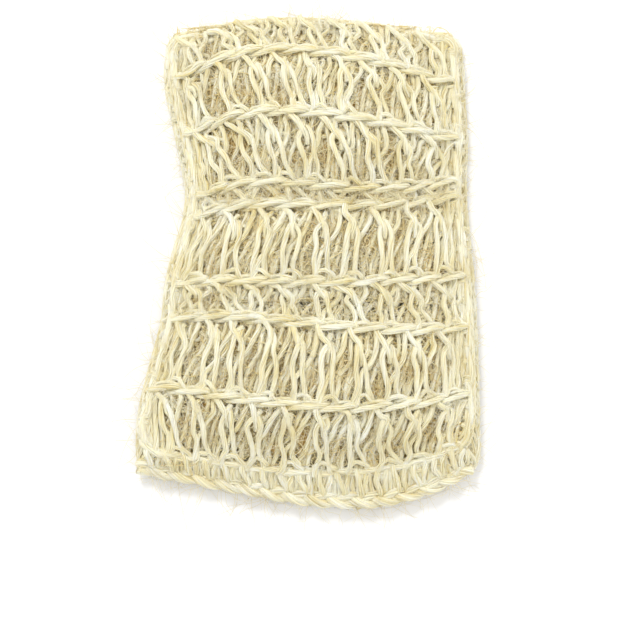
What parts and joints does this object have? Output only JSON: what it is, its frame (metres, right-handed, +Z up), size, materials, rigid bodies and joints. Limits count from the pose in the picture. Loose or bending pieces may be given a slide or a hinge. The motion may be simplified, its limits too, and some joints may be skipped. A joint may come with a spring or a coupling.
{
  "type": "loofah back scrubber",
  "caption": "Rectangular crocheted bath pad of natural twine with chain rows, a braided edge and a loofah fibre filling; folds at two creases.",
  "frame": {"origin": "middle of the footprint, on the surface the pad lies on", "axes": "+Z up through the puffed front face, +Y towards the top edge along the long side, +X across to the right"},
  "size_m": [0.117, 0.17, 0.0255],
  "materials": {
    "front_twine": "coarse twisted natural twine, matt",
    "edge_twine": "coarse twisted natural twine, matt",
    "back_twine": "coarse twisted natural twine, matt",
    "filling_fibre": "tangled dry loofah fibre, matt"
  },
  "bodies": {
    "middle": {"front_ridge_4": "front_twine", "front_course_5": "front_twine", "front_ridge_5": "front_twine", "front_course_4": "front_twine", "front_course_6": "front_twine", "back_ridge_4": "back_twine", "back_course_5": "back_twine", "back_ridge_5": "back_twine", "back_course_4": "back_twine", "back_course_6": "back_twine", "front_rim_mid_left": "edge_twine", "front_rim_mid_right": "edge_twine", "back_rim_mid_left": "edge_twine", "back_rim_mid_right": "edge_twine", "joining_stitches_middle": "edge_twine", "core_wad_middle": "filling_fibre"},
    "upper": {"front_course_1": "front_twine", "front_course_2": "front_twine", "front_course_3": "front_twine", "front_ridge_1": "front_twine", "front_ridge_2": "front_twine", "front_ridge_3": "front_twine", "back_course_1": "back_twine", "back_course_2": "back_twine", "back_course_3": "back_twine", "back_ridge_1": "back_twine", "back_ridge_2": "back_twine", "back_ridge_3": "back_twine", "front_rim_upper": "edge_twine", "back_rim_upper": "edge_twine", "joining_stitches_upper": "edge_twine", "core_wad_upper": "filling_fibre"},
    "lower": {"front_course_7": "front_twine", "front_course_8": "front_twine", "closing_course": "front_twine", "front_ridge_6": "front_twine", "front_ridge_7": "front_twine", "back_course_7": "back_twine", "back_course_8": "back_twine", "back_ridge_6": "back_twine", "back_ridge_7": "back_twine", "front_rim_lower": "edge_twine", "back_rim_lower_left": "edge_twine", "back_rim_lower_right": "edge_twine", "closing_braid": "edge_twine", "joining_stitches_lower": "edge_twine", "core_wad_lower": "filling_fibre"}
  },
  "joints": [
    {"name": "upper_fold", "type": "hinge", "parent": "middle", "child": "upper", "pos_m": [0, 0.0183, 0.0195], "axis": [1, 0, 0], "range_deg": [0, 35], "deforming": ["front_course_4", "back_course_4"]},
    {"name": "lower_fold", "type": "hinge", "parent": "middle", "child": "lower", "pos_m": [0, -0.0174, 0.0195], "axis": [-1, 0, 0], "range_deg": [0, 50], "deforming": ["front_course_6", "back_course_6"]}
  ]
}
